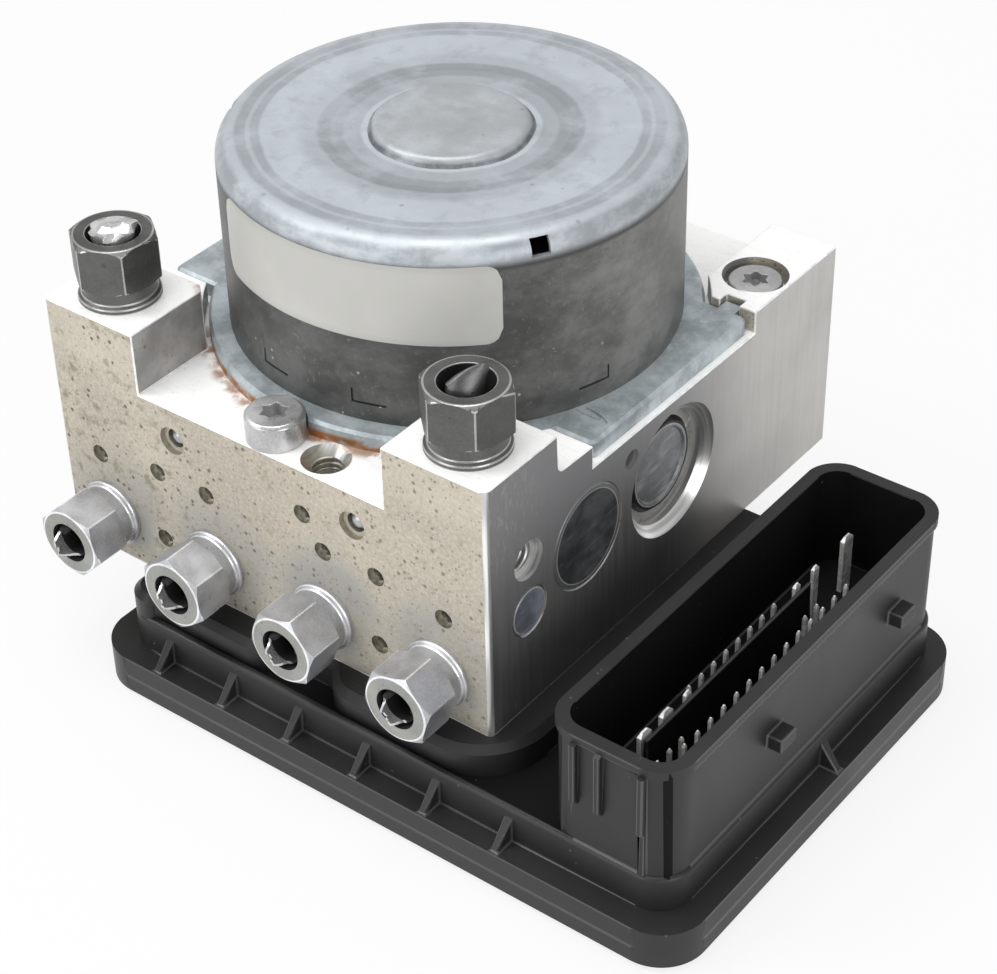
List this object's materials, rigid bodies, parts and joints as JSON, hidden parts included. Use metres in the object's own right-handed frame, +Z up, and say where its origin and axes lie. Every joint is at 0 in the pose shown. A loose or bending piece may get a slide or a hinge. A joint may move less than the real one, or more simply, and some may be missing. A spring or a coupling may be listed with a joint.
{
  "type": "anti-lock brake module",
  "caption": "Anti-lock brake module: machined valve block with a round pump motor on top, pipe nuts with cut tube ends, and a flat control unit with an open connector socket below.",
  "frame": {"origin": "on the underside of the control unit's cover, straight below the pump motor's axis", "axes": "+Z up along the motor axis, +X along the face with the wheel-line nuts towards the connector, +Y from that face to the back"},
  "size_m": [0.1308, 0.1091, 0.0901],
  "materials": {
    "block_aluminium": "machined, stained and pitted",
    "nut_steel": "satin plated",
    "nut_dark_steel": "dark plated",
    "tube_steel": "cut and crushed",
    "plug_steel": "satin",
    "disc_dark": "satin",
    "screw_steel": "satin plated",
    "motor_steel": "zinc-coated, scuffed",
    "label_film": "matt film",
    "inner_steel": "ground",
    "spring_steel": "satin",
    "lamination": "matt",
    "copper": "lacquered",
    "ferrite": "matt",
    "carbon": "matt",
    "holder_plastic": "matt",
    "unit_plastic": "fine texture",
    "cover_plastic": "fine texture",
    "seal_rubber": "matt",
    "board_laminate": "satin",
    "contact_tin": "tinned",
    "coil_body": "satin"
  },
  "bodies": {
    "module": {"valve_block": "block_aluminium", "wheel_line_nuts": "nut_steel", "master_line_nuts": "nut_dark_steel", "tube_ends": "tube_steel", "ball_plugs": "plug_steel", "side_plugs": "disc_dark", "cap_screw": "screw_steel", "post_screw": "screw_steel", "motor_flange": "motor_steel", "motor_can": "motor_steel", "motor_label": "label_film", "lower_bearing": "inner_steel", "upper_bearing": "inner_steel", "motor_magnets": "ferrite", "motor_brushes": "carbon", "brush_holder": "holder_plastic", "contact_stem": "holder_plastic", "unit_housing": "unit_plastic", "unit_cover": "cover_plastic", "unit_seal": "seal_rubber", "unit_screws": "screw_steel", "circuit_board": "board_laminate", "blade_contacts": "contact_tin", "pin_contacts": "contact_tin", "valve_coils": "coil_body", "pump_sleeve_left": "inner_steel", "pump_spring_left": "spring_steel", "pump_cap_left": "disc_dark", "accumulator_cover_left": "disc_dark", "accumulator_spring_left": "spring_steel", "pump_sleeve_right": "inner_steel", "pump_spring_right": "spring_steel", "pump_cap_right": "disc_dark", "accumulator_cover_right": "disc_dark", "accumulator_spring_right": "spring_steel", "inlet_valve_1": "inner_steel", "inlet_valve_2": "inner_steel", "inlet_valve_3": "inner_steel", "inlet_valve_4": "inner_steel", "outlet_valve_1": "inner_steel", "outlet_valve_2": "inner_steel", "outlet_valve_3": "inner_steel", "outlet_valve_4": "inner_steel"},
    "rotor": {"motor_shaft": "inner_steel", "armature_core": "lamination", "armature_winding": "copper", "commutator": "copper"},
    "eccentric": {"eccentric_ring": "inner_steel"},
    "pump_piston_left": {"pump_piston_left": "inner_steel"},
    "pump_piston_right": {"pump_piston_right": "inner_steel"},
    "accumulator_piston_left": {"accumulator_piston_left": "inner_steel"},
    "accumulator_piston_right": {"accumulator_piston_right": "inner_steel"},
    "inlet_plunger_1": {"inlet_plunger_1": "inner_steel"},
    "inlet_plunger_2": {"inlet_plunger_2": "inner_steel"},
    "inlet_plunger_3": {"inlet_plunger_3": "inner_steel"},
    "inlet_plunger_4": {"inlet_plunger_4": "inner_steel"},
    "outlet_plunger_1": {"outlet_plunger_1": "inner_steel"},
    "outlet_plunger_2": {"outlet_plunger_2": "inner_steel"},
    "outlet_plunger_3": {"outlet_plunger_3": "inner_steel"},
    "outlet_plunger_4": {"outlet_plunger_4": "inner_steel"}
  },
  "joints": [
    {"name": "rotor_spin", "type": "hinge", "parent": "module", "child": "rotor", "pos_m": [0, 0, 0.0404], "axis": [0, 0, 1], "continuous": true},
    {"name": "ring_turn", "type": "hinge", "parent": "rotor", "child": "eccentric", "pos_m": [0, 0.0012, 0.0404], "axis": [0, 0, 1], "continuous": true},
    {"name": "pump_stroke_left", "type": "slide", "parent": "module", "child": "pump_piston_left", "axis": [-1, 0, 0], "range_m": [0, 0.0024], "stiffness_N_per_m": 800, "springref_m": -0.004, "deforming": ["pump_spring_left"]},
    {"name": "pump_stroke_right", "type": "slide", "parent": "module", "child": "pump_piston_right", "axis": [1, 0, 0], "range_m": [0, 0.0024], "stiffness_N_per_m": 800, "springref_m": -0.004, "deforming": ["pump_spring_right"]},
    {"name": "accumulator_stroke_left", "type": "slide", "parent": "module", "child": "accumulator_piston_left", "axis": [-1, 0, 0], "range_m": [0, 0.008], "stiffness_N_per_m": 200, "springref_m": -0.01, "deforming": ["accumulator_spring_left"]},
    {"name": "accumulator_stroke_right", "type": "slide", "parent": "module", "child": "accumulator_piston_right", "axis": [1, 0, 0], "range_m": [0, 0.008], "stiffness_N_per_m": 200, "springref_m": -0.01, "deforming": ["accumulator_spring_right"]},
    {"name": "inlet_lift_1", "type": "slide", "parent": "module", "child": "inlet_plunger_1", "axis": [0, 0, 1], "range_m": [0, 0.0003], "stiffness_N_per_m": 1000, "springref_m": -0.002},
    {"name": "inlet_lift_2", "type": "slide", "parent": "module", "child": "inlet_plunger_2", "axis": [0, 0, 1], "range_m": [0, 0.0003], "stiffness_N_per_m": 1000, "springref_m": -0.002},
    {"name": "inlet_lift_3", "type": "slide", "parent": "module", "child": "inlet_plunger_3", "axis": [0, 0, 1], "range_m": [0, 0.0003], "stiffness_N_per_m": 1000, "springref_m": -0.002},
    {"name": "inlet_lift_4", "type": "slide", "parent": "module", "child": "inlet_plunger_4", "axis": [0, 0, 1], "range_m": [0, 0.0003], "stiffness_N_per_m": 1000, "springref_m": -0.002},
    {"name": "outlet_lift_1", "type": "slide", "parent": "module", "child": "outlet_plunger_1", "axis": [0, 0, -1], "range_m": [0, 0.0003], "stiffness_N_per_m": 1000, "springref_m": -0.002},
    {"name": "outlet_lift_2", "type": "slide", "parent": "module", "child": "outlet_plunger_2", "axis": [0, 0, -1], "range_m": [0, 0.0003], "stiffness_N_per_m": 1000, "springref_m": -0.002},
    {"name": "outlet_lift_3", "type": "slide", "parent": "module", "child": "outlet_plunger_3", "axis": [0, 0, -1], "range_m": [0, 0.0003], "stiffness_N_per_m": 1000, "springref_m": -0.002},
    {"name": "outlet_lift_4", "type": "slide", "parent": "module", "child": "outlet_plunger_4", "axis": [0, 0, -1], "range_m": [0, 0.0003], "stiffness_N_per_m": 1000, "springref_m": -0.002}
  ],
  "couplings": [
    {"joint": "ring_turn", "follows": "rotor_spin", "ratio": -1}
  ]
}
